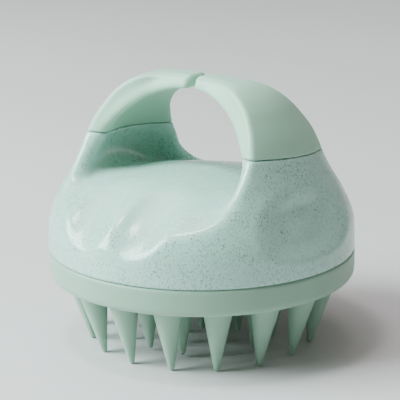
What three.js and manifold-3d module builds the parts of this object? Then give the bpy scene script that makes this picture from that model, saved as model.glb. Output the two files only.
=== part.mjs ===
// Scalp massager brush: a hollow hard shell with a finger tunnel under two arms,
// soft grips that close the loop over the fingers, and a soft bristle head that
// pushes into the shell from below. Millimetres, +Z up, tunnel along Y.
// Origin: centre of the bristle circle, on the surface the tips stand on.
import * as THREE from 'three';
import { mergeVertices } from 'three/addons/utils/BufferGeometryUtils.js';
import Module from 'manifold-3d';

const wasm = await Module();
wasm.setup();

// ---- driving dimensions -------------------------------------------------
const GAP = 0.3; // clearance between touching pieces
const TURN_STEPS = 60; // facets round the shell

const HEIGHT = 74.4;
const RIM_RADIUS = 42.4;
const RIM_Z = 26.5; // underside of the shell
const SHELL_WALL = 2.8;
// Outside of the dome, radius and height, from the rim up to the top of the arms.
const DOME_OUTLINE = [
  [RIM_RADIUS, RIM_Z], [42.2, 34], [41.1, 38], [39.2, 42], [37.3, 45.5], [35.3, 49],
  [33.6, 53], [32.2, 57], [30.4, 61], [27.7, 65], [24.8, 68.5], [20.8, 71.5], [15.5, 73.5],
  [8, 74.2], [0, HEIGHT],
];
// Inside of the ring that the two arms form, radius and height.
const RING_INSIDE = [
  [40.2, 34], [39, 38], [36.8, 42], [34.2, 45.5], [31, 49.8], [27.6, 54.8], [25.1, 58.4],
  [22.6, 61.6], [19, 64.8], [14.2, 67.7], [7.3, 70.1], [0, 71],
];
// Half depth of the arms, and its height, seen from the side: the front and the back half.
const ARM_FRONT = [
  [38, 34], [38, 38.9], [33.1, 40.8], [26.2, 45.5], [22.2, 49], [18.3, 53], [15.5, 57],
  [14, 61], [12.1, 65], [10.4, 69], [8.9, 72], [7.2, 73.5], [5, 74.1], [3.2, 75],
];
const ARM_BACK = [
  [38, 34], [38, 38.9], [32.6, 40.8], [25.6, 45.5], [22, 49], [18.8, 53], [16.6, 57],
  [14.9, 61], [12.6, 65], [9.8, 69], [7.4, 72], [5.6, 73.5], [4.2, 74.1], [3, 75],
];
const ARM_SEAM_Z = 55.75; // where the soft grips start, at mid depth
const ARM_SEAM_TILT = 0.083; // the joint falls towards the back by this angle, in radians
const ARM_SLIT = 0.8; // gap between the two grip tips

const SADDLE_Z = 48.7; // floor of the finger tunnel, at its middle
const SADDLE_CROWN = 0.006; // fall of the floor towards the arms, per mm squared
const FLOOR_REACH = 40; // distance from the middle to the front lip
const FRONT_FALL = [5.2, 5.5]; // gentle and steep shares of the fall to the front lip
const BACK_SLOPE = 0.235;
const BACK_ROUNDING = 5;
const GROOVE_X = 8.7; // the two finger grooves lie at + and - this
const GROOVE_WIDTH = 4.2;
const GROOVE_DEPTH = 2;
const GROOVE_START_Y = -17;
const GROOVE_FULL_Y = -36;

const DENT_DEPTH = 2.2; // thumb hollows in the flanks
const DENT_Z = 38.5;
const DENT_HEIGHTS = [6.8, 8.5]; // its reach above and below that
const DENT_ROUNDNESS = 2.4; // 2 is an ellipse, more is squarer
const DENT_FLAT = 0.35; // share of the hollow that is fully pressed in
const DENT_HALF_ANGLE = THREE.MathUtils.degToRad(27);
const DENT_TURN = THREE.MathUtils.degToRad(-6); // their middles lie a little towards the front

const CORE_OFFSETS = [1.6, 3.4]; // the core's faces, below the arm's outer face
const CORE_INSET = 3; // core edge to grip edge
const CORE_TOP_Z = 69;

const PAD_RADIUS = 42.2;
const PAD_BOTTOM_Z = 18.9;
const PAD_TOP_Z = RIM_Z - GAP;
const PAD_EDGE_ROUND = 1;
const PAD_FLOOR = 2.3;
const PAD_WALL = 2.6;

const PLATE_THICKNESS = 2.4;
const SKIRT_TOP_Z = 31;
const SKIRT_WALL = 1.8;
const RIB_COUNT = 6;
const RIB_THICKNESS = 1.4;
const RIB_HEIGHT = 3;
const HUB_RADIUS = 6;
const PLUG_COUNT = 6; // soft plugs that hold the pad on the plate
const PLUG_CIRCLE = 27;
const PLUG_RADIUS = 2.2;
const PLUG_HEAD_RADIUS = 3.2;
const PLUG_HEAD_HEIGHT = 1.2;

const BRISTLE_ROOT_RADIUS = 4.1;
const BRISTLE_TIP_RADIUS = 1;
const BRISTLE_TIP_FLAT = 0.55;
const BRISTLE_SIDES = 10;
// Each ring: how many, where the roots and the tips lie, the tips' height, the first angle.
const BRISTLE_RINGS = [
  { name: 'outer', count: 16, root: 34, tip: 30.8, tipZ: 0, first: 0 },
  { name: 'middle', count: 12, root: 21.4, tip: 20, tipZ: 0.6, first: 22.4 },
  { name: 'inner', count: 6, root: 10.4, tip: 10, tipZ: 1, first: 0 },
  { name: 'centre', count: 1, root: 0, tip: 0, tipZ: 1, first: 0 },
];

// ---- materials ----------------------------------------------------------
const hardShell = new THREE.MeshStandardMaterial({ color: 0xb4cdc5, roughness: 0.35, metalness: 0 });
const softGrip = new THREE.MeshStandardMaterial({ color: 0xb3cdbb, roughness: 0.6, metalness: 0 });
const softPad = new THREE.MeshStandardMaterial({ color: 0xa9cbbb, roughness: 0.55, metalness: 0 });
const hiddenPlastic = new THREE.MeshStandardMaterial({ color: 0xc9d8d2, roughness: 0.5, metalness: 0 });

// ---- solids -------------------------------------------------------------
function toSolid(geometry) {
  const bare = geometry.clone();
  bare.deleteAttribute('normal');
  bare.deleteAttribute('uv');
  const merged = mergeVertices(bare, 1e-3);
  const index = merged.index.array;
  const kept = [];
  for (let i = 0; i < index.length; i += 3) {
    const [a, b, c] = index.slice(i, i + 3);
    if (a !== b && b !== c && c !== a) kept.push(a, b, c);
  }
  return new wasm.Manifold(new wasm.Mesh({
    numProp: 3,
    vertProperties: new Float32Array(merged.attributes.position.array),
    triVerts: new Uint32Array(kept),
  }));
}

function toMesh(name, solid, material) {
  const cut = solid.getMesh();
  const geometry = new THREE.BufferGeometry();
  geometry.setAttribute('position', new THREE.BufferAttribute(cut.vertProperties, 3));
  geometry.setIndex(new THREE.BufferAttribute(cut.triVerts, 1));
  geometry.computeVertexNormals();
  return namedMesh(name, geometry, material);
}

function namedMesh(name, geometry, material) {
  const mesh = new THREE.Mesh(geometry, material);
  mesh.name = name;
  return mesh;
}

// A solid of revolution about Z. The profile is [radius, z] pairs.
function turned(profile, steps = TURN_STEPS) {
  const points = profile.map(([r, z]) => new THREE.Vector2(r, z));
  return new THREE.LatheGeometry(points, steps).rotateX(Math.PI / 2);
}

function slab(bottom, top) {
  const size = 4 * RIM_RADIUS;
  return toSolid(new THREE.BoxGeometry(size, size, top - bottom).translate(0, 0, (top + bottom) / 2));
}

// ---- dome ---------------------------------------------------------------
function curveThrough(points) {
  return new THREE.SplineCurve(points.map(([across, up]) => new THREE.Vector2(across, up)));
}

const domeCurve = curveThrough(DOME_OUTLINE);

// The dome's outline moved inwards by `offset`, closed down to `floorZ` on the axis.
function domeProfile(offset, floorZ, steps = 17) {
  const profile = [];
  for (let i = 0; i <= steps; i += 1) {
    const at = i / steps;
    const point = domeCurve.getPoint(at);
    const along = domeCurve.getTangent(at);
    profile.push([Math.max(point.x - along.y * offset, 0), point.y + along.x * offset]);
  }
  profile[0] = [profile[0][0], floorZ];
  profile[steps][0] = 0;
  return [[0, floorZ], ...profile];
}

function smooth(from, to, value) {
  return THREE.MathUtils.smoothstep(value, from, to);
}

// How far a flank is pressed in by its thumb hollow.
function dentDepth(x, y, z) {
  const around = Math.abs(Math.atan2(y, Math.abs(x)) - DENT_TURN) / DENT_HALF_ANGLE;
  const rise = z - DENT_Z;
  const up = Math.abs(rise) / (rise > 0 ? DENT_HEIGHTS[0] : DENT_HEIGHTS[1]);
  const reach = (around ** DENT_ROUNDNESS + up ** DENT_ROUNDNESS) ** (1 / DENT_ROUNDNESS);
  return DENT_DEPTH * (1 - smooth(DENT_FLAT, 1, reach));
}

function domeSolid(offset, floorZ) {
  const geometry = turned(domeProfile(offset, floorZ));
  const position = geometry.attributes.position;
  for (let i = 0; i < position.count; i += 1) {
    const x = position.getX(i);
    const y = position.getY(i);
    const radius = Math.hypot(x, y);
    if (radius < RIM_RADIUS / 2) continue;
    const shrink = 1 - dentDepth(x, y, position.getZ(i)) / radius;
    position.setXY(i, x * shrink, y * shrink);
  }
  return toSolid(geometry);
}

// ---- finger tunnel ------------------------------------------------------
function grooveDepth(x, y) {
  const across = (centre) => Math.exp(-(((x - centre) / GROOVE_WIDTH) ** 2));
  const along = smooth(-GROOVE_START_Y, -GROOVE_FULL_Y, -y);
  return GROOVE_DEPTH * along * (across(GROOVE_X) + across(-GROOVE_X));
}

function saddleHeight(x, y) {
  const share = y / FLOOR_REACH;
  const front = FRONT_FALL[0] * share ** 2 + FRONT_FALL[1] * share ** 6;
  const back = BACK_SLOPE * (Math.hypot(y, BACK_ROUNDING) - BACK_ROUNDING);
  return SADDLE_Z - SADDLE_CROWN * x * x - (y < 0 ? front : back) - grooveDepth(x, y);
}

function underSaddle(drop) {
  const size = 2 * RIM_RADIUS + 4;
  const columns = 24;
  const rows = 28;
  const geometry = new THREE.BoxGeometry(size, size, 2, columns, rows, 1);
  const position = geometry.attributes.position;
  for (let i = 0; i < position.count; i += 1) {
    const top = saddleHeight(position.getX(i), position.getY(i)) - drop;
    position.setZ(i, position.getZ(i) > 0 ? top : 0);
  }
  return toSolid(geometry);
}

// ---- arms ---------------------------------------------------------------
// A prism along X with the arms' side outline, narrowed by `inset` on each side.
function armSide(inset) {
  const edge = (half, sign) => curveThrough(half).getPoints(18)
    .map((p) => new THREE.Vector2(sign * (p.x - inset), p.y));
  const outline = new THREE.Shape([...edge(ARM_BACK, 1), ...edge(ARM_FRONT, -1).reverse()]);
  const length = 3 * RIM_RADIUS;
  const prism = new THREE.ExtrudeGeometry(outline, { depth: length, bevelEnabled: false, steps: 1 });
  // the outline's x becomes Y and its y becomes Z
  prism.translate(0, 0, -length / 2);
  prism.rotateX(Math.PI / 2);
  prism.rotateZ(Math.PI / 2);
  return toSolid(prism);
}

function armRing() {
  const inside = curveThrough(RING_INSIDE).getPoints(17).map((p) => [Math.max(p.x, 0), p.y]);
  const hole = toSolid(turned([[0, RIM_Z - 1], [RING_INSIDE[0][0], RIM_Z - 1], ...inside]));
  return domeSolid(0, RIM_Z).subtract(hole).intersect(armSide(0));
}

// The curved strap between two depths below the dome's outside.
function innerStrap(outer, inner, inset) {
  return domeSolid(outer, RIM_Z).subtract(domeSolid(inner, RIM_Z - 1)).intersect(armSide(inset));
}

// All that lies above the joint of arm and grip, or below it where `upwards` is -1.
function pastSeam(upwards, clear = 0) {
  const size = 3 * RIM_RADIUS;
  const block = new THREE.BoxGeometry(size, size, size).translate(0, 0, upwards * (size / 2 + clear));
  return toSolid(block.rotateX(-ARM_SEAM_TILT).translate(0, 0, ARM_SEAM_Z));
}

function halfSpace(sideways, clear) {
  const size = 3 * RIM_RADIUS;
  const block = new THREE.BoxGeometry(size, size, size);
  return toSolid(block.translate(sideways * (size / 2 + clear), 0, ARM_SEAM_Z));
}

function mainShell() {
  const arms = armRing().intersect(pastSeam(-1));
  const body = domeSolid(0, RIM_Z).intersect(underSaddle(0));
  const hollow = domeSolid(SHELL_WALL, RIM_Z - 1).intersect(underSaddle(SHELL_WALL * 1.2));
  return toMesh('main_shell', body.add(arms).subtract(hollow), hardShell);
}

function gripAndCore(sideName, sideways) {
  const half = halfSpace(sideways, ARM_SLIT / 2).intersect(pastSeam(1, GAP));
  const [near, far] = CORE_OFFSETS;
  const coreSpace = innerStrap(near - GAP, far + GAP, CORE_INSET - GAP).intersect(slab(0, CORE_TOP_Z + GAP));
  const core = innerStrap(near, far, CORE_INSET).intersect(slab(0, CORE_TOP_Z)).intersect(half);
  const grip = armRing().intersect(half).subtract(coreSpace);
  return [
    toMesh(`${sideName}_grip`, grip, softGrip),
    toMesh(`${sideName}_grip_core`, core, hiddenPlastic),
  ];
}

// ---- bristle head -------------------------------------------------------
function ringPlaces(count, radius, first = 0) {
  return Array.from({ length: count }, (_, i) => {
    const angle = THREE.MathUtils.degToRad(first) + (i * 2 * Math.PI) / count;
    return new THREE.Vector2(radius * Math.sin(angle), -radius * Math.cos(angle));
  });
}

function peg(place, radius, bottom, top, sides = 10) {
  const geometry = new THREE.CylinderGeometry(radius, radius, top - bottom, sides);
  geometry.rotateX(Math.PI / 2).translate(place.x, place.y, (top + bottom) / 2);
  return toSolid(geometry);
}

const PLATE_BOTTOM_Z = PAD_BOTTOM_Z + PAD_FLOOR + GAP;
const PLATE_TOP_Z = PLATE_BOTTOM_Z + PLATE_THICKNESS;
const PLATE_RADIUS = PAD_RADIUS - PAD_WALL - GAP;

function brushPad() {
  const inside = PAD_RADIUS - PAD_WALL;
  const cup = toSolid(turned([
    [0, PAD_BOTTOM_Z],
    [PAD_RADIUS - PAD_EDGE_ROUND, PAD_BOTTOM_Z],
    [PAD_RADIUS - 0.3 * PAD_EDGE_ROUND, PAD_BOTTOM_Z + 0.3 * PAD_EDGE_ROUND],
    [PAD_RADIUS, PAD_BOTTOM_Z + PAD_EDGE_ROUND],
    [PAD_RADIUS, PAD_TOP_Z],
    [inside, PAD_TOP_Z],
    [inside, PAD_BOTTOM_Z + PAD_FLOOR],
    [0, PAD_BOTTOM_Z + PAD_FLOOR],
  ]));
  let pad = cup;
  for (const place of ringPlaces(PLUG_COUNT, PLUG_CIRCLE)) {
    const headBottom = PLATE_TOP_Z + GAP;
    pad = pad.add(peg(place, PLUG_RADIUS, PAD_BOTTOM_Z + 1, headBottom + PLUG_HEAD_HEIGHT));
    pad = pad.add(peg(place, PLUG_HEAD_RADIUS, headBottom, headBottom + PLUG_HEAD_HEIGHT));
  }
  return toMesh('brush_pad', pad, softPad);
}

function basePlate() {
  const skirtRadius = RIM_RADIUS - SHELL_WALL - GAP - 0.4;
  const skirtInside = skirtRadius - SKIRT_WALL;
  let plate = toSolid(turned([
    [0, PLATE_BOTTOM_Z],
    [PLATE_RADIUS, PLATE_BOTTOM_Z],
    [PLATE_RADIUS, PLATE_TOP_Z],
    [skirtRadius, PLATE_TOP_Z],
    [skirtRadius, SKIRT_TOP_Z - 1],
    [skirtRadius - 0.6, SKIRT_TOP_Z],
    [skirtInside, SKIRT_TOP_Z],
    [skirtInside, PLATE_TOP_Z],
    [0, PLATE_TOP_Z],
  ]));
  const middle = new THREE.Vector2(0, 0);
  plate = plate.add(peg(middle, HUB_RADIUS, PLATE_BOTTOM_Z + 1, PLATE_TOP_Z + RIB_HEIGHT, 20));
  for (let i = 0; i < RIB_COUNT; i += 1) {
    // the ribs run between the plugs
    const turn = ((i + 0.5) * 2 * Math.PI) / RIB_COUNT;
    const rib = new THREE.BoxGeometry(RIB_THICKNESS, skirtInside, RIB_HEIGHT + 1);
    rib.translate(0, skirtInside / 2 + 0.5, PLATE_TOP_Z + RIB_HEIGHT / 2 - 0.5).rotateZ(turn);
    plate = plate.add(toSolid(rib));
  }
  for (const place of ringPlaces(PLUG_COUNT, PLUG_CIRCLE)) {
    plate = plate.subtract(peg(place, PLUG_RADIUS + GAP, PLATE_BOTTOM_Z - 1, PLATE_TOP_Z + 1));
  }
  return toMesh('base_plate', plate, hiddenPlastic);
}

// A cone from its root under the pad to a small rounded tip, leaning towards the middle.
function bristleGeometry(root, tip, tipZ) {
  const rootZ = PAD_BOTTOM_Z - GAP;
  const height = rootZ - tipZ;
  const cone = turned([
    [0, 0],
    [BRISTLE_TIP_FLAT, 0],
    [BRISTLE_TIP_RADIUS, BRISTLE_TIP_RADIUS * 0.8],
    [0.62 * BRISTLE_ROOT_RADIUS, 0.52 * height],
    [BRISTLE_ROOT_RADIUS, height],
    [0, height],
  ], BRISTLE_SIDES);
  const lean = new THREE.Vector2().subVectors(root, tip).divideScalar(height);
  const shear = new THREE.Matrix4().set(1, 0, lean.x, 0, 0, 1, lean.y, 0, 0, 0, 1, 0, 0, 0, 0, 1);
  return cone.applyMatrix4(shear);
}

function bristles() {
  const meshes = [];
  for (const ring of BRISTLE_RINGS) {
    const roots = ringPlaces(ring.count, ring.root, ring.first);
    const tips = ringPlaces(ring.count, ring.tip, ring.first);
    tips.forEach((tip, i) => {
      const geometry = bristleGeometry(roots[i], tip, ring.tipZ);
      const mesh = namedMesh(`${ring.name}_bristle_${i + 1}`, geometry, softPad);
      mesh.position.set(tip.x, tip.y, ring.tipZ);
      meshes.push(mesh);
    });
  }
  return meshes;
}

// ---- assembly -----------------------------------------------------------
const massager = new THREE.Group();
massager.add(mainShell());
massager.add(...gripAndCore('left', -1));
massager.add(...gripAndCore('right', 1));

const brushHead = new THREE.Group();
brushHead.add(brushPad(), basePlate(), ...bristles());
massager.add(brushHead);

export default massager;
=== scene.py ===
"""A scalp massager brush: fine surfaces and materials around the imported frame.

The shell, the grips, the bristle head and its plate are each described by a
signed distance field in millimetres, negative inside, and meshed from it.
"""
import math

import bpy
import numpy as np
from mathutils import Matrix, Vector


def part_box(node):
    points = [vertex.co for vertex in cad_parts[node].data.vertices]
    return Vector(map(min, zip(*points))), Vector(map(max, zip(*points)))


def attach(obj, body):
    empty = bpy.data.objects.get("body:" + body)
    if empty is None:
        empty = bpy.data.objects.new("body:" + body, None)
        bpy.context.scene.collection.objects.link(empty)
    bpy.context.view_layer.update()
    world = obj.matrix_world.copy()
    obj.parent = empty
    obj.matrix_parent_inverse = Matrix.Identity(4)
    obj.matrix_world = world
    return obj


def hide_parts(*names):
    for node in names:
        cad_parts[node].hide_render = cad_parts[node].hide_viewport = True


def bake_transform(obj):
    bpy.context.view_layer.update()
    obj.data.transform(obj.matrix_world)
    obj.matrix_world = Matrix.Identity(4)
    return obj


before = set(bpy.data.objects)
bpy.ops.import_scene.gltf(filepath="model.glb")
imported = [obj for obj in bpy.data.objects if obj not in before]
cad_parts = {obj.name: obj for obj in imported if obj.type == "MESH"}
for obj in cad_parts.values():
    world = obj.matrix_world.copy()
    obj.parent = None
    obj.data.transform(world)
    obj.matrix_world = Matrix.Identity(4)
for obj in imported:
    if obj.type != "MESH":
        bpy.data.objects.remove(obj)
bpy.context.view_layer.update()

# ---- sizes, in millimetres --------------------------------------------------
MM = 0.001


def box_mm(node):
    low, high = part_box(node)
    return np.array(low) / MM, np.array(high) / MM


shell_low, shell_high = box_mm("main_shell")
pad_low, pad_high = box_mm("brush_pad")
plate_low, plate_high = box_mm("base_plate")

RIM_RADIUS = shell_high[0]
RIM_Z = shell_low[2]
TOP_Z = box_mm("left_grip")[1][2]
HALF_SLIT = box_mm("right_grip")[0][0]
CORE_TOP = box_mm("right_grip_core")[1][2]
SHELL_WALL = 2.8
SEAM_Z = 55.75  # where the soft grips start, at mid depth
SEAM_FALL = 0.083  # the seam falls this much per mm towards the back

# Outside of the dome: radius and height, from the rim to the top of the arms.
DOME_OUTLINE = [
    (RIM_RADIUS, RIM_Z), (42.2, 34), (41.1, 38), (39.2, 42), (37.3, 45.5), (35.3, 49), (33.6, 53),
    (32.2, 57), (30.4, 61), (27.7, 65), (24.8, 68.5), (20.8, 71.5), (15.5, 73.5), (8, 74.2),
    (0, TOP_Z),
]
# Inside of the ring that the two arms form: radius and height.
RING_INSIDE = [
    (40.2, 34), (39, 38), (36.8, 42), (34.2, 45.5), (31, 49.8), (27.6, 54.8), (25.1, 58.4),
    (22.6, 61.6), (19, 64.8), (14.2, 67.7), (7.3, 70.1), (0, 71),
]
# The arms seen along X, at the ring's outside: half depth and height.
ARM_FRONT = [
    (38, 34), (38, 38.9), (33.1, 40.8), (26.2, 45.5), (22.2, 49), (18.3, 53), (15.5, 57), (14, 61),
    (12.1, 65), (10.4, 69), (8.9, 72), (7.2, 73.5), (5, 74.1), (3.6, 74.4), (3.2, 75),
]
ARM_BACK = [
    (38, 34), (38, 38.9), (32.6, 40.8), (25.6, 45.5), (22, 49), (18.8, 53), (16.6, 57), (14.9, 61),
    (12.6, 65), (9.8, 69), (7.4, 72), (5.6, 73.5), (4.2, 74.1), (3.4, 74.4), (3, 75),
]
# The same at the ring's inside.
INNER_FRONT = [
    (38, 34), (36, 39.6), (32, 42), (26.6, 45.5), (19.2, 51.7), (14.4, 57), (10.9, 63.6),
    (7.7, 69), (4.6, 73), (4, 76.5),
]
INNER_BACK = [
    (38, 34), (34, 39), (29, 42), (24.5, 46.5), (20.6, 51.5), (16.3, 56.5), (12.9, 61.3),
    (10.8, 65), (8.6, 69), (4.9, 73), (4, 76),
]
RING_Z = 50  # above this the outer half depths are measured square to the ring
RING_MARGIN = 2  # the outline used for that starts this far below
OVER_THE_ARMS = [(3, 95)]  # carries the four outlines on above the arms

# The tunnel's floor, highest in the middle, and the two finger grooves in its front half.
SADDLE_Z = 48.7
SADDLE_CROWN = 0.006  # per mm squared, how it falls away to the sides
FLOOR_REACH = 40
FRONT_FALL = (5.2, 5.5)  # by y = -FLOOR_REACH: with the square of y, and with its sixth power
BACK_SLOPE = 0.235
BACK_ROUNDING = 5  # from the level middle to that slope
GROOVE_X = 8.7
GROOVE_HALF_WIDTH = 7.6
GROOVE_DEPTH = 2.8
GROOVE_EDGE = 0.35  # how softly a groove's sides run out
GROOVE_START_Y = -17
GROOVE_FULL_Y = -36

# The thumb hollow in each flank.
DENT_DEPTH = 3.0
DENT_Z = 38.5
DENT_HEIGHTS = (11.5, 8)  # above and below its middle
DENT_HALF_ANGLE = math.radians(27)
DENT_TURN = math.radians(-6)
DENT_ROUNDNESS = 2.4
DENT_FLAT = 0.3  # share of the hollow that is fully pressed in

# Roundings, walls and gaps.
INNER_EDGE_ROUND = 2.8  # between an arm's inner face and its sides
FRONT_FOOT_ROUND = 6.5  # the same at the arms' feet
BACK_FOOT_ROUND = 4.0
FOOT_ROUND_Z = (48, 64)
OUTER_EDGE_ROUND = 1.2  # between its sides and the dome
LIP_ROUND = 1.0
LIP_STARTS_Y = (30, 36)
FRONT_FILLET = 17.0  # between the tunnel's floor and the arms, in the front half
BACK_FILLET = 9.0
FRONT_STARTS_Y = (22, -20)  # from the back's roundings to the front's
RIM_FILLET = 1.5  # the same at the tunnel's two ends
FILLET_ENDS_Y = 34
FILLET_FULL_Y = 4
HOLLOW_ROUND = 3
SEAM_EDGE_ROUND = 0.25
SEAM_LINE = 0.22  # width of the fine joint lines
TIP_ROUND = 2.0
CORE_OFFSETS = (1.6, 3.4)  # the core's faces, below the arm's outer face
CORE_INSET = 3  # from the arm's side faces
CLEARANCE = 0.3
CORE_EDGE = 0.6  # rounds the corners of the room around a core

BRISTLE_ROOT_RADIUS = 4.1
BRISTLE_TIP_RADIUS = 0.8
# Rings from the outside in: how many bristles, root circle, tip circle, height of the tips,
# first angle in degrees.
BRISTLE_RINGS = [
    (16, 34, 30.8, 0, 0),
    (12, 21.4, 20, 0.6, 22.4),
    (6, 10.4, 10, 1, 0),
    (1, 0, 0, 1, 0),
]


# ---- fields -----------------------------------------------------------------
SLOPE_STEP = 0.1  # for the slope of the tunnel's floor


def smooth_min(a, b, k):
    share = np.clip(0.5 + 0.5 * (b - a) / k, 0, 1)
    return b + (a - b) * share - k * share * (1 - share)


def smooth_max(a, b, k):
    return -smooth_min(-a, -b, k)


def smooth_step(low, high, value):
    t = np.clip((value - low) / (high - low), 0, 1)
    return t * t * (3 - 2 * t)


def spline(points, per_span=16):
    """Points along a Catmull-Rom curve through the given ones."""
    given = np.array(points, float)
    padded = np.vstack([given[:1], given, given[-1:]])
    t = np.linspace(0, 1, per_span, endpoint=False)[:, None]
    spans = []
    for a, b, c, d in zip(padded, padded[1:], padded[2:], padded[3:]):
        cubic = (3 * b - a - 3 * c + d) * t ** 3 + (2 * a - 5 * b + 4 * c - d) * t ** 2
        spans.append(0.5 * (cubic + (c - a) * t + 2 * b))
    return np.vstack(spans + [given[-1:]])


class HalfPlane:
    """Distance to an outline of (half width, height), negative inside, from a fine table."""

    def __init__(self, outline, step=0.2, wide=52, low=10, high=86):
        self.step, self.low = step, low
        self.u = np.arange(0, wide + step, step)
        self.v = np.arange(low, high + step, step)
        u, v = np.meshgrid(self.u, self.v, indexing="ij")
        best = np.full(u.shape, 1e9)
        for (u0, v0), (u1, v1) in zip(outline, outline[1:]):
            du, dv = u1 - u0, v1 - v0
            length = max(du * du + dv * dv, 1e-12)
            t = np.clip(((u - u0) * du + (v - v0) * dv) / length, 0, 1)
            best = np.minimum(best, (u - u0 - t * du) ** 2 + (v - v0 - t * dv) ** 2)
        rising = outline[np.argsort(outline[:, 1], kind="stable")]
        width = np.interp(v, rising[:, 1], rising[:, 0], right=-1)
        self.table = np.where(u < width, -1, 1) * np.sqrt(best)

    def __call__(self, u, v):
        fu = np.clip(u / self.step, 0, len(self.u) - 1.001)
        fv = np.clip((v - self.low) / self.step, 0, len(self.v) - 1.001)
        i, j = fu.astype(np.int32), fv.astype(np.int32)
        fu, fv = fu - i, fv - j
        t = self.table
        near = t[i, j] * (1 - fv) + t[i, j + 1] * fv
        far = t[i + 1, j] * (1 - fv) + t[i + 1, j + 1] * fv
        return near * (1 - fu) + far * fu


def half_plane(outline, *beyond):
    """The same for a curve through an outline's points, carried down to the ground."""
    foot = (outline[0][0], 0)
    return HalfPlane(np.vstack([[foot], spline(outline), *beyond]))


dome_outline = np.vstack([[(RIM_RADIUS, 0)], spline(DOME_OUTLINE)])
dome_plane = HalfPlane(dome_outline)
ring_hole = half_plane(RING_INSIDE)
front_plane = half_plane(ARM_FRONT, OVER_THE_ARMS)
back_plane = half_plane(ARM_BACK, OVER_THE_ARMS)
inner_front = half_plane(INNER_FRONT, OVER_THE_ARMS)
inner_back = half_plane(INNER_BACK, OVER_THE_ARMS)
above_ring = dome_outline[dome_outline[:, 1] > RING_Z - RING_MARGIN]
ring_angles = np.arctan2(above_ring[:, 1] - RING_Z, above_ring[:, 0])


def arm_side(x, y, z, skin, hole):
    """Distance to the arms' side faces, blended from the ring's outside to its inside."""
    angle = np.arctan2(z - RING_Z, np.hypot(x, y))
    outside_z = np.interp(angle, ring_angles, above_ring[:, 1])
    height = np.where(z > RING_Z, np.maximum(outside_z, z), z)
    outer = np.where(y < 0, front_plane(-y, height), back_plane(y, height))
    inner = np.where(y < 0, inner_front(-y, z), inner_back(y, z))
    depth = np.clip(-skin / np.maximum(np.maximum(hole, 0) - skin, 0.01), 0, 1)
    return outer + (inner - outer) * depth


def dent(x, y, z):
    """How deep the thumb hollows press the dome in."""
    around = np.abs(np.arctan2(y, np.abs(x)) - DENT_TURN) / DENT_HALF_ANGLE
    rise = z - DENT_Z
    up = np.abs(rise) / np.where(rise > 0, *DENT_HEIGHTS)
    reach = (around ** DENT_ROUNDNESS + up ** DENT_ROUNDNESS) ** (1 / DENT_ROUNDNESS)
    return DENT_DEPTH * (1 - smooth_step(DENT_FLAT, 1, reach))


def dome(x, y, z):
    return dome_plane(np.hypot(x, y) + dent(x, y, z), z)


def groove(x, y):
    """How deep the finger grooves are cut."""
    along = smooth_step(-GROOVE_START_Y, -GROOVE_FULL_Y, -y)
    across = (np.abs(x) - GROOVE_X) / GROOVE_HALF_WIDTH
    return GROOVE_DEPTH * along * smooth_max(1 - across ** 2, 0, GROOVE_EDGE)


def saddle_height(x, y):
    share = y / FLOOR_REACH
    front = FRONT_FALL[0] * share ** 2 + FRONT_FALL[1] * share ** 6
    back = BACK_SLOPE * (np.hypot(y, BACK_ROUNDING) - BACK_ROUNDING)
    return SADDLE_Z - SADDLE_CROWN * x * x - np.where(y < 0, front, back) - groove(x, y)


def floor_field(x, y, z):
    """Distance to the tunnel's floor, from its height and slope."""
    e = SLOPE_STEP
    height = saddle_height(x, y)
    slope_x = (saddle_height(x + e, y) - height) / e
    slope_y = (saddle_height(x, y + e) - height) / e
    return (z - height) / np.sqrt(1 + slope_x ** 2 + slope_y ** 2)


def loop_body(x, y, z):
    """Dome, tunnel floor and arms as one solid, before it is parted at the seams."""
    skin = dome(x, y, z)
    hole = ring_hole(np.hypot(x, y), z)
    front = smooth_step(*FRONT_STARTS_Y, y)
    foot = BACK_FOOT_ROUND + (FRONT_FOOT_ROUND - BACK_FOOT_ROUND) * front
    edge = foot + (INNER_EDGE_ROUND - foot) * smooth_step(*FOOT_ROUND_Z, z)
    arms = smooth_max(-hole, arm_side(x, y, z, skin, hole), edge)
    full = BACK_FILLET + (FRONT_FILLET - BACK_FILLET) * front
    fillet = RIM_FILLET + (full - RIM_FILLET) * smooth_step(FILLET_ENDS_Y, FILLET_FULL_Y, np.abs(y))
    inside = smooth_min(floor_field(x, y, z), arms, fillet)
    edge = OUTER_EDGE_ROUND + (LIP_ROUND - OUTER_EDGE_ROUND) * smooth_step(*LIP_STARTS_Y, np.abs(y))
    return smooth_max(skin, inside, edge)


def above_seam(y, z):
    return z - SEAM_Z + SEAM_FALL * y


def shell_field(x, y, z):
    """The hard shell up to the seams, hollow under its floor."""
    solid = smooth_max(loop_body(x, y, z), above_seam(y, z) - CLEARANCE + SEAM_LINE, SEAM_EDGE_ROUND)
    solid = smooth_max(solid, RIM_Z - z, SEAM_EDGE_ROUND)
    hollow = smooth_max(dome(x, y, z) + SHELL_WALL, floor_field(x, y, z) + SHELL_WALL, HOLLOW_ROUND)
    return np.maximum(solid, -hollow)


def grip_field(sideways):
    """A soft grip on the side where x has that sign, with room for its core."""
    def field(x, y, z):
        solid = smooth_max(loop_body(x, y, z), CLEARANCE - above_seam(y, z), SEAM_EDGE_ROUND)
        solid = smooth_max(solid, HALF_SLIT - sideways * x, TIP_ROUND)
        skin = dome(x, y, z)
        hole = ring_hole(np.hypot(x, y), z)
        core = np.maximum(-(skin + CORE_OFFSETS[1] + CLEARANCE), skin + CORE_OFFSETS[0] - CLEARANCE)
        side = arm_side(x, y, z, skin, hole) + CORE_INSET - CLEARANCE
        core = smooth_max(smooth_max(core, side, CORE_EDGE), z - CORE_TOP - CLEARANCE, CORE_EDGE)
        return np.maximum(solid, -core)
    return field


# ---- bristle head -----------------------------------------------------------
def ring_places(count, radius, first=0):
    """Evenly spaced places on a circle, from the front."""
    angles = math.radians(first) + np.arange(count) * 2 * math.pi / count
    return np.stack([radius * np.sin(angles), -radius * np.cos(angles)], 1)


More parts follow.
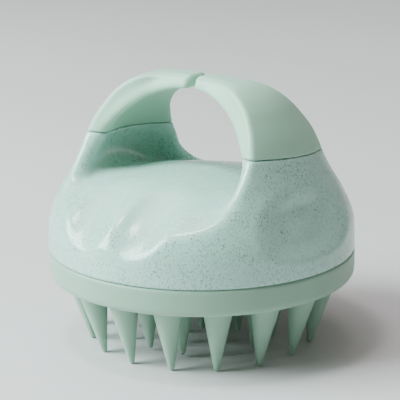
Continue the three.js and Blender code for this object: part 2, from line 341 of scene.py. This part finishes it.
def round_cone(x, y, z, a, b, r1, r2):
    """Distance to the hull of two balls: radius r1 at a, r2 at b."""
    ba = b - a
    l2 = ba @ ba
    rr = r1 - r2
    a2 = l2 - rr * rr
    p = np.stack([x - a[0], y - a[1], z - a[2]], -1)
    along = p @ ba
    beyond = along - l2
    cross = p * l2 - along[..., None] * ba
    x2 = (cross * cross).sum(-1)
    y2 = along * along * l2
    z2 = beyond * beyond * l2
    k = np.sign(rr) * rr * rr * x2
    far = np.sqrt(x2 + z2) / l2 - r2
    near = np.sqrt(x2 + y2) / l2 - r1
    middle = (np.sqrt(x2 * a2 / l2) + along * rr) / l2 - r1
    result = np.where(np.sign(along) * a2 * y2 < k, near, middle)
    return np.where(np.sign(beyond) * a2 * z2 > k, far, result)


bristle_ends = []
for count, root, tip, tip_z, first in BRISTLE_RINGS:
    for r, t in zip(ring_places(count, root, first), ring_places(count, tip, first)):
        top = np.array([r[0], r[1], pad_low[2]])
        point = np.array([t[0], t[1], tip_z + BRISTLE_TIP_RADIUS])
        bristle_ends.append((top, point))

PAD_RADIUS = RIM_RADIUS + 0.05  # a hair proud of the shell's rim
PAD_FLOOR = 2.3
PAD_WALL = 2.6
PAD_TOP_ROUND = 0.8
PAD_BOTTOM_ROUND = 2.1
PLUG_COUNT = 6
PLUG_CIRCLE = 27
PLUG_RADIUS = 2.2
PLUG_HEAD_RADIUS = 3.2
PLUG_HEAD_HEIGHT = 1.2
PLUG_EDGE = 0.4
WELL_EDGE = 0.3
OPEN_END = 9  # how far a cut runs past the surface it opens
ROOT_DEPTH = 1  # a bristle reaches this far into the pad
ROOT_EDGE = 0.5
ROOT_FILLET = 1.0
BRISTLE_REACH = 9  # half width of the space that one bristle is worked out in


def disc(x, y, z, radius, low, high, edge):
    """A disc or cylinder with rounded rims, about x = y = 0."""
    out = np.hypot(x, y) - radius
    up = np.abs(z - (low + high) / 2) - (high - low) / 2
    return smooth_max(out, up, edge)


def head_field(x, y, z):
    """Pad, plugs and bristles as one soft moulding."""
    cup = smooth_max(np.hypot(x, y) - PAD_RADIUS, pad_low[2] - z, PAD_BOTTOM_ROUND)
    cup = smooth_max(cup, z - (RIM_Z - SEAM_LINE / 2), PAD_TOP_ROUND)
    well_floor = pad_low[2] + PAD_FLOOR
    well = disc(x, y, z, PAD_RADIUS - PAD_WALL, well_floor, RIM_Z + OPEN_END, WELL_EDGE)
    solid = np.maximum(cup, -well)
    for px, py in ring_places(PLUG_COUNT, PLUG_CIRCLE):
        for radius, low in (
            (PLUG_RADIUS, pad_low[2] + ROOT_DEPTH),
            (PLUG_HEAD_RADIUS, pad_high[2] - PLUG_HEAD_HEIGHT),
        ):
            plug = disc(x - px, y - py, z, radius, low, pad_high[2], PLUG_EDGE)
            solid = np.minimum(solid, plug)
    for top, point in bristle_ends:
        near = (np.hypot(x - top[0], y - top[1]) < BRISTLE_REACH) & (z < pad_low[2] + 3 * ROOT_DEPTH)
        if not near.any():
            continue
        radii = BRISTLE_ROOT_RADIUS, BRISTLE_TIP_RADIUS
        spike = round_cone(x[near], y[near], z[near], top, point, *radii)
        spike = smooth_max(spike, z[near] - pad_low[2] - ROOT_DEPTH, ROOT_EDGE)
        solid[near] = smooth_min(solid[near], spike, ROOT_FILLET)
    return solid


PLATE_THICKNESS = 2.4
PLATE_BOTTOM = plate_low[2]
PLATE_TOP = PLATE_BOTTOM + PLATE_THICKNESS
PLATE_RADIUS = plate_high[0]
PLATE_EDGE = 0.4
SKIRT_GAP = 0.7  # between the skirt and the shell's wall
SKIRT_RADIUS = RIM_RADIUS - SHELL_WALL - SKIRT_GAP
SKIRT_TOP = plate_high[2]
SKIRT_WALL = 1.8
SKIRT_EDGE = 0.8
RIB_COUNT = 6
RIB_HALF = 0.7
RIB_HEIGHT = 3
RIB_TOP = PLATE_TOP + RIB_HEIGHT
RIB_ENDS_INSIDE = 0.5  # of the skirt's outside
RIB_FILLET = 0.6
HUB_RADIUS = 6
HUB_EDGE = 0.6
ROOTED = 1  # the skirt, hub and ribs start this far inside the plate
PLUG_HOLE_GAP = 0.3
PLUG_HOLE_EDGE = 0.1
PLUG_HOLE_PAST = 2  # how far a hole's cut runs past the plate's two faces


def plate_field(x, y, z):
    """Stiff plate with its skirt, hub and ribs, and holes for the pad's plugs."""
    plate = disc(x, y, z, PLATE_RADIUS, PLATE_BOTTOM, PLATE_TOP, PLATE_EDGE)
    skirt = disc(x, y, z, SKIRT_RADIUS, PLATE_BOTTOM + ROOTED, SKIRT_TOP, SKIRT_EDGE)
    bore = disc(x, y, z, SKIRT_RADIUS - SKIRT_WALL, PLATE_TOP, SKIRT_TOP + OPEN_END, WELL_EDGE)
    solid = smooth_min(plate, np.maximum(skirt, -bore), SKIRT_EDGE)
    hub = disc(x, y, z, HUB_RADIUS, PLATE_BOTTOM + ROOTED, RIB_TOP, HUB_EDGE)
    solid = smooth_min(solid, hub, SKIRT_EDGE)
    for i in range(RIB_COUNT):
        turn = (i + 0.5) * 2 * math.pi / RIB_COUNT  # between two plugs
        along = -x * math.sin(turn) + y * math.cos(turn)
        across = np.abs(x * math.cos(turn) + y * math.sin(turn)) - RIB_HALF
        reach = np.abs(along - SKIRT_RADIUS / 2) - SKIRT_RADIUS / 2 + RIB_ENDS_INSIDE
        rise = np.abs(z - (PLATE_TOP + RIB_TOP - ROOTED) / 2) - (RIB_TOP - PLATE_TOP + ROOTED) / 2
        rib = smooth_max(smooth_max(across, rise, PLATE_EDGE), reach, PLATE_EDGE)
        solid = smooth_min(solid, rib, RIB_FILLET)
    radius = PLUG_RADIUS + PLUG_HOLE_GAP
    low, high = PLATE_BOTTOM - PLUG_HOLE_PAST, PLATE_TOP + PLUG_HOLE_PAST
    for px, py in ring_places(PLUG_COUNT, PLUG_CIRCLE):
        hole = disc(x - px, y - py, z, radius, low, high, PLUG_HOLE_EDGE)
        solid = np.maximum(solid, -hole)
    return solid


# ---- meshing ----------------------------------------------------------------
PROBE = 0.04  # half the distance over which a field's slope is taken
SETTLE_ROUNDS = 3
SETTLE_REACH = 0.5  # of the grid's step, the most that a point moves in a round
LEAST_SLOPE = 0.05  # squared
GRID_MARGIN = 1.5  # steps below the box; the grid ends at least as far above it


def surface_net(values):
    """Vertices, in grid units, and quads of the surface where a sampled field changes sign."""
    inside = values < 0
    size = np.array(values.shape)
    filled = np.zeros(size - 1, np.int8)
    for offset in np.ndindex(2, 2, 2):
        window = tuple(slice(o, o + n - 1) for o, n in zip(offset, size))
        filled += inside[window]
    cells = np.argwhere((filled > 0) & (filled < 8))
    number = np.full(size - 1, -1, np.int64)
    number[tuple(cells.T)] = np.arange(len(cells))
    total = np.zeros((len(cells), 3))
    hits = np.zeros(len(cells))
    for axis in range(3):
        for others in np.ndindex(2, 2):
            start = np.insert(others, axis, 0)
            end = np.insert(others, axis, 1)
            a = values[tuple((cells + start).T)]
            b = values[tuple((cells + end).T)]
            crossed = (a < 0) != (b < 0)
            t = a[crossed] / (a[crossed] - b[crossed])
            total[crossed] += start + t[:, None] * (end - start)
            hits[crossed] += 1
    vertices = cells + total / hits[:, None]
    quads = []
    for axis in range(3):
        across, up = np.eye(3, dtype=int)[[(axis + 1) % 3, (axis + 2) % 3]]
        first = tuple(slice(0, -1) if i == axis else slice(1, -1) for i in range(3))
        second = tuple(slice(1, None) if i == axis else slice(1, -1) for i in range(3))
        changed = np.argwhere(inside[first] != inside[second])
        changed += np.array([0 if i == axis else 1 for i in range(3)])
        loop = [number[tuple((changed - shift).T)] for shift in (across + up, up, 0 * up, across)]
        quad = np.stack(loop, 1)
        leaving = inside[tuple(changed.T)]
        quad[~leaving] = quad[~leaving][:, ::-1]
        quads.append(quad)
    return vertices, np.vstack(quads)


def settled(field, points, step):
    """The points moved onto the field's zero along its slope."""
    e = PROBE
    for _ in range(SETTLE_ROUNDS):
        value = field(*points.T)
        slope = np.stack(
            [(field(*(points + e * d).T) - field(*(points - e * d).T)) / (2 * e) for d in np.eye(3)], 1)
        length = np.maximum((slope ** 2).sum(1), LEAST_SLOPE)
        move = slope * (value / length)[:, None]
        far = np.maximum(np.linalg.norm(move, axis=1) / (SETTLE_REACH * step), 1)
        points = points - move / far[:, None]
    return points


def solid_mesh(name, field, low, high, step):
    """A closed mesh of a field's zero surface, from a grid of that step, in metres."""
    low = np.array(low, float) - GRID_MARGIN * step
    counts = np.ceil((np.array(high, float) - low) / step).astype(int) + int(2 * GRID_MARGIN)
    axes = [low[i] + step * np.arange(counts[i]) for i in range(3)]
    values = field(*(g.copy() for g in np.meshgrid(*axes, indexing="ij")))
    vertices, quads = surface_net(values)
    vertices = settled(field, low + step * vertices, step)
    mesh = bpy.data.meshes.new(name)
    mesh.vertices.add(len(vertices))
    mesh.vertices.foreach_set("co", (vertices * MM).astype(np.float32).ravel())
    mesh.loops.add(quads.size)
    mesh.loops.foreach_set("vertex_index", quads.astype(np.int32).ravel())
    mesh.polygons.add(len(quads))
    mesh.polygons.foreach_set("loop_start", np.arange(0, quads.size, 4, dtype=np.int32))
    mesh.update(calc_edges=True)
    mesh.validate()
    mesh.shade_smooth()
    piece = bpy.data.objects.new(name, mesh)
    bpy.context.scene.collection.objects.link(piece)
    return piece


# ---- materials --------------------------------------------------------------
DOME_LEAN = 0.38  # how much the dome draws in per mm of height, below the seams
SKIN_DEPTH = (4, 1.5)  # below the dome's outside, where the flecks fade and where they are full
TUNNEL_FLECKS_AND_PAINTED_LIGHT = 0.12  # how strong the flecks are inside the tunnel; set low partly as painted light, paling the tunnel's shaded walls
SMALLEST_FLECK = 0.35  # share of the largest fleck's radius
FLECK_CORE = 0.45  # share of a fleck's radius that has its full ink
DUST_GAIN = 1.18  # how much paler the soft pieces' fine dust is than their light colour

SHELL_LIGHT = (0.400, 0.645, 0.570, 1)
SHELL_DEEP = (0.380, 0.620, 0.545, 1)
SHELL_GRAIN = (0.33, 0.54, 0.47, 1)
SHELL_PALE_FLECK = (0.60, 0.78, 0.68, 1)
GRIP_LIGHT = (0.340, 0.560, 0.430, 1)
GRIP_DEEP = (0.320, 0.540, 0.415, 1)
SILICONE_LIGHT = (0.262, 0.420, 0.325, 1)
SILICONE_DEEP = (0.247, 0.400, 0.310, 1)
PLATE_LIGHT = (0.60, 0.70, 0.66, 1)
PLATE_DEEP = (0.56, 0.67, 0.62, 1)
TABLE_DEEP = (0.63, 0.60, 0.62, 1)
TABLE_LIGHT = (0.66, 0.63, 0.65, 1)

# Dark flecks: cell and radius in mm, share of the cells that have one, which way they lie,
# ink, and how strongly it covers.
DARK_FLECKS = [
    (0.42, 0.19, 1.0, "leaning", (0.10, 0.15, 0.12, 1), 0.78),
    (0.55, 0.23, 1.0, "upright", (0.07, 0.11, 0.09, 1), 0.75),
    (1.50, 0.31, 0.6, "leaning", (0.10, 0.10, 0.06, 1), 0.70),
    (0.60, 0.22, 1.0, "lying", (0.08, 0.12, 0.10, 1), 0.72),
]


class Nodes:
    """Short calls for building a node material in millimetres of object space."""

    def __init__(self, name):
        self.material = bpy.data.materials.new(name)
        self.material.use_nodes = True
        self.tree = self.material.node_tree
        self.surface = self.tree.nodes["Principled BSDF"]
        place = self.tree.nodes.new("ShaderNodeTexCoord")
        scale = self.tree.nodes.new("ShaderNodeVectorMath")
        scale.operation = "SCALE"
        scale.inputs["Scale"].default_value = 1 / MM
        self.link(place.outputs["Object"], scale.inputs[0])
        self.mm = scale.outputs[0]

    def link(self, output, socket):
        self.tree.links.new(output, socket)

    def node(self, kind, **inputs):
        made = self.tree.nodes.new(kind)
        for name, value in inputs.items():
            self.set(made.inputs[name], value)
        return made

    def set(self, socket, value):
        if isinstance(value, bpy.types.NodeSocket):
            self.link(value, socket)
        else:
            socket.default_value = value

    def math(self, operation, a, b=0.0):
        made = self.tree.nodes.new("ShaderNodeMath")
        made.operation = operation
        self.set(made.inputs[0], a)
        self.set(made.inputs[1], b)
        return made.outputs[0]

    def stretched(self, factors):
        made = self.tree.nodes.new("ShaderNodeVectorMath")
        made.operation = "MULTIPLY"
        self.link(self.mm, made.inputs[0])
        made.inputs[1].default_value = factors
        return made.outputs[0]

    def turned_stretch(self, turn, factors):
        made = self.tree.nodes.new("ShaderNodeMapping")
        self.link(self.mm, made.inputs["Vector"])
        made.inputs["Rotation"].default_value = turn
        made.inputs["Scale"].default_value = factors
        return made.outputs["Vector"]

    def noise(self, size, detail=3.0, rough=0.5):
        made = self.node("ShaderNodeTexNoise", Scale=1 / size, Detail=detail, Roughness=rough)
        self.link(self.mm, made.inputs["Vector"])
        return made.outputs["Fac"]

    def ranged(self, value, from_low, from_high, to_low, to_high, smooth=False):
        made = self.tree.nodes.new("ShaderNodeMapRange")
        made.interpolation_type = "SMOOTHSTEP" if smooth else "LINEAR"
        for name, given in (("Value", value), ("From Min", from_low), ("From Max", from_high),
                            ("To Min", to_low), ("To Max", to_high)):
            self.set(made.inputs[name], given)
        return made.outputs["Result"]

    def mix(self, share, a, b):
        made = self.tree.nodes.new("ShaderNodeMix")
        made.data_type = "RGBA"
        self.set(made.inputs["Factor"], share)
        self.set(made.inputs["A"], a)
        self.set(made.inputs["B"], b)
        return made.outputs["Result"]

    def flecks(self, cell, radius, chosen, vector):
        """Small spots: one per Voronoi cell of that size, in the chosen share of the cells."""
        made = self.node("ShaderNodeTexVoronoi", Scale=1 / cell)
        self.link(vector, made.inputs["Vector"])
        parts = self.node("ShaderNodeSeparateColor", Color=made.outputs["Color"])
        kept = self.math("LESS_THAN", parts.outputs["Red"], chosen)
        smallest = SMALLEST_FLECK * radius / cell
        size = self.ranged(parts.outputs["Green"], 0, 1, smallest, radius / cell)
        edge = self.math("MULTIPLY", size, FLECK_CORE)
        spot = self.ranged(made.outputs["Distance"], edge, size, 1.0, 0.0, smooth=True)
        return self.math("MULTIPLY", spot, kept)

    def bump(self, height, distance_mm):
        made = self.node("ShaderNodeBump", Height=height, Distance=distance_mm * MM)
        return made.outputs["Normal"]

    def finished(self, surface):
        """The material, with those inputs of its surface linked or set."""
        for name, value in surface.items():
            self.set(self.surface.inputs[name], value)
        return self.material


def skin_share_and_painted_light(n):
    """1 on the dome's outside, falling to a little inside the tunnel, where few flecks surface; the low
    value there is also painted light, paling the shaded tunnel walls.
    """
    parts = n.node("ShaderNodeSeparateXYZ", Vector=n.mm)
    flat = n.math("MULTIPLY", parts.outputs["X"], parts.outputs["X"])
    flat = n.math("ADD", flat, n.math("MULTIPLY", parts.outputs["Y"], parts.outputs["Y"]))
    radius = n.math("SQRT", flat)
    lean = n.math("MULTIPLY", n.math("SUBTRACT", parts.outputs["Z"], RIM_Z), DOME_LEAN)
    reach = n.math("ADD", radius, lean)
    fades, full = RIM_RADIUS - SKIN_DEPTH[0], RIM_RADIUS - SKIN_DEPTH[1]
    return n.ranged(reach, fades, full, TUNNEL_FLECKS_AND_PAINTED_LIGHT, 1, smooth=True)


def shell_material():
    n = Nodes("straw_plastic")
    cloud = n.ranged(n.noise(9, detail=2), 0.35, 0.65, 0, 1)
    colour = n.mix(cloud, SHELL_LIGHT, SHELL_DEEP)
    grain = n.ranged(n.noise(0.5, detail=3), 0.42, 0.62, 0, 0.35)
    colour = n.mix(grain, colour, SHELL_GRAIN)
    ways = {
        "upright": n.stretched((1.0, 1.0, 0.55)),
        "leaning": n.turned_stretch((0.5, 0.6, 0.2), (1.0, 1.0, 0.45)),
        "lying": n.turned_stretch((0.9, -0.7, 0.4), (1.0, 1.0, 0.5)),
    }
    patch = n.ranged(n.noise(6, detail=2), 0.38, 0.62, 0.45, 1.0)
    # fewer dark flecks in the tunnel: partly real, partly painted light on its shaded walls
    patch = n.math("MULTIPLY", patch, skin_share_and_painted_light(n))
    pale = n.flecks(0.9, 0.26, 0.9, ways["lying"])
    colour = n.mix(n.math("MULTIPLY", pale, 0.55), colour, SHELL_PALE_FLECK)
    for cell, radius, chosen, way, ink, cover in DARK_FLECKS:
        spots = n.math("MULTIPLY", n.flecks(cell, radius, chosen, ways[way]), patch)
        colour = n.mix(n.math("MULTIPLY", spots, cover), colour, ink)
    rough = n.ranged(n.noise(2.5, detail=3), 0.3, 0.7, 0.24, 0.33)
    skin = n.math("ADD", n.noise(0.9, detail=2), n.math("MULTIPLY", pale, 0.6))
    return n.finished({
        "Base Color": colour,
        "Roughness": rough,
        "Normal": n.bump(skin, 0.010),
        "IOR": 1.50,
        "Subsurface Weight": 0.25,
        "Subsurface Scale": 0.004,
        "Subsurface Radius": (1.0, 1.0, 1.0),
        "Coat Weight": 0.4,
        "Coat Roughness": 0.10,
    })


def soft_material(name, light, deep, roughness, subsurface):
    n = Nodes(name)
    cloud = n.ranged(n.noise(14, detail=3), 0.35, 0.65, 0, 1)
    colour = n.mix(cloud, light, deep)
    dust = n.ranged(n.noise(0.35, detail=4, rough=0.6), 0.60, 0.75, 0, 0.22)
    colour = n.mix(dust, colour, tuple(min(1, DUST_GAIN * c) for c in light[:3]) + (1,))
    rough = n.ranged(n.noise(3, detail=3), 0.3, 0.7, roughness - 0.05, roughness + 0.06)
    grain = n.math("ADD", n.noise(0.28, detail=3), n.math("MULTIPLY", n.noise(5, detail=1), 1.5))
    return n.finished({
        "Base Color": colour,
        "Roughness": rough,
        "Normal": n.bump(grain, 0.010),
        "IOR": 1.42,
        "Subsurface Weight": subsurface,
        "Subsurface Scale": 0.003,
        "Subsurface Radius": (0.8, 1.0, 0.9),
        "Sheen Weight": 0.08,
        "Sheen Roughness": 0.6,
    })


def plate_material():
    n = Nodes("moulded_plate")
    cloud = n.ranged(n.noise(6, detail=3), 0.35, 0.65, 0, 1)
    return n.finished({
        "Base Color": n.mix(cloud, PLATE_LIGHT, PLATE_DEEP),
        "Roughness": n.ranged(n.noise(1.5), 0.3, 0.7, 0.42, 0.55),
        "Normal": n.bump(n.noise(0.5, detail=3), 0.015),
    })


def floor_material():
    n = Nodes("table_top")
    cloud = n.ranged(n.noise(160, detail=3), 0.3, 0.7, 0, 1)
    return n.finished({"Base Color": n.mix(cloud, TABLE_DEEP, TABLE_LIGHT), "Roughness": 0.38})


# ---- pieces -----------------------------------------------------------------
SHELL_STEP = 0.55
GRIP_STEP = 0.5  # also the plate's
HEAD_STEP = 0.57  # coarser than the grips' step; at 0.5 the export thins the head out

shell_look = shell_material()
grip_look = soft_material("soft_grip", GRIP_LIGHT, GRIP_DEEP, roughness=0.42, subsurface=0.10)
silicone_look = soft_material("silicone", SILICONE_LIGHT, SILICONE_DEEP, roughness=0.40, subsurface=0.35)
plate_look = plate_material()


def dressed(piece, material, slot, *nodes):
    piece.data.materials.append(material)
    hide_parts(*nodes)
    return piece


shell = solid_mesh("shell", shell_field, shell_low, shell_high, SHELL_STEP)
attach(dressed(shell, shell_look, "shell", "main_shell"), "shell")

for side_name, sideways in (("left", -1), ("right", 1)):
    low, high = box_mm(f"{side_name}_grip")
    grip = solid_mesh(f"{side_name}_soft_grip", grip_field(sideways), low, high, GRIP_STEP)
    dressed(grip, grip_look, "grip", f"{side_name}_grip")
    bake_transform(grip)

head_low = np.array([-PAD_RADIUS, -PAD_RADIUS, 0])
head = solid_mesh("silicone_head", head_field, head_low, pad_high, HEAD_STEP)
head_nodes = [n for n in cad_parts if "_bristle_" in n] + ["brush_pad"]
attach(dressed(head, silicone_look, "silicone", *head_nodes), "brush_head")

plate = solid_mesh("head_plate", plate_field, plate_low, plate_high, GRIP_STEP)
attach(dressed(plate, plate_look, "hidden_plastic", "base_plate"), "brush_head")

for side_name in ("left", "right"):
    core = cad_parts[f"{side_name}_grip_core"]
    core.data.materials.clear()
    core.data.materials.append(plate_look)

# ---- floor, light and camera ------------------------------------------------
TABLE_SIZE = 8  # metres
bpy.ops.mesh.primitive_plane_add(size=TABLE_SIZE, location=(0, 0, 0))
table = bpy.context.object
table.name = "table"
table.data.materials.append(floor_material())

CAMERA_TURN = math.radians(38)  # from straight in front, towards +X
CAMERA_BACK = 0.4792  # metres, as is the next
CAMERA_UP = 0.1721
CAMERA_PITCH = math.radians(15.544)
CAMERA_YAW = math.radians(-0.048)
CAMERA_ROLL = math.radians(-0.345)
LENS_MM = 162
SENSOR_MM = 36

turn = Matrix.Rotation(CAMERA_TURN, 4, "Z")
tilt = Matrix.Rotation(math.pi / 2 - CAMERA_PITCH, 4, "X")
look = Matrix.Rotation(-CAMERA_YAW, 4, "Z") @ tilt @ Matrix.Rotation(CAMERA_ROLL, 4, "Z")
camera_data = bpy.data.cameras.new("camera")
camera_data.lens = LENS_MM
camera_data.sensor_width = SENSOR_MM
camera_data.clip_start = 0.01
camera = bpy.data.objects.new("camera", camera_data)
camera.matrix_world = turn @ Matrix.Translation((0, -CAMERA_BACK, CAMERA_UP)) @ look
bpy.context.scene.collection.objects.link(camera)
bpy.context.scene.camera = camera

LIT_POINT = Vector((0, 0, 0.04))
WARM_WHITE = (1.0, 0.98, 0.92)
ROOM_COLOUR = (1.0, 0.98, 0.90, 1)
ROOM_STRENGTH = 0.28


def soft_box(name, place, size, power, colour=(1, 1, 1)):
    """An area light at a place given as seen from the camera: right, away, up, in metres."""
    lamp = bpy.data.lights.new(name, "AREA")
    lamp.shape = "RECTANGLE"
    lamp.size, lamp.size_y = size
    lamp.energy = power
    lamp.color = colour
    holder = bpy.data.objects.new(name, lamp)
    at = turn @ Vector(place)
    facing = (LIT_POINT - at).to_track_quat("-Z", "Y")
    holder.matrix_world = Matrix.Translation(at) @ facing.to_matrix().to_4x4()
    bpy.context.scene.collection.objects.link(holder)


soft_box("window", (-0.75, -0.12, 0.55), (0.6, 0.7), 31.0, (0.82, 1.0, 0.96))
soft_box("overhead", (-0.15, 0.25, 0.95), (0.8, 0.8), 4.0)
soft_box("edge_light", (-0.20, -0.06, 0.90), (0.15, 0.15), 2.5)
soft_box("fill", (0.50, -0.80, 0.30), (0.8, 0.6), 0.2, WARM_WHITE)
world = bpy.data.worlds.new("room")
world.use_nodes = True
background = world.node_tree.nodes["Background"]
background.inputs["Color"].default_value = ROOM_COLOUR
background.inputs["Strength"].default_value = ROOM_STRENGTH
bpy.context.scene.world = world
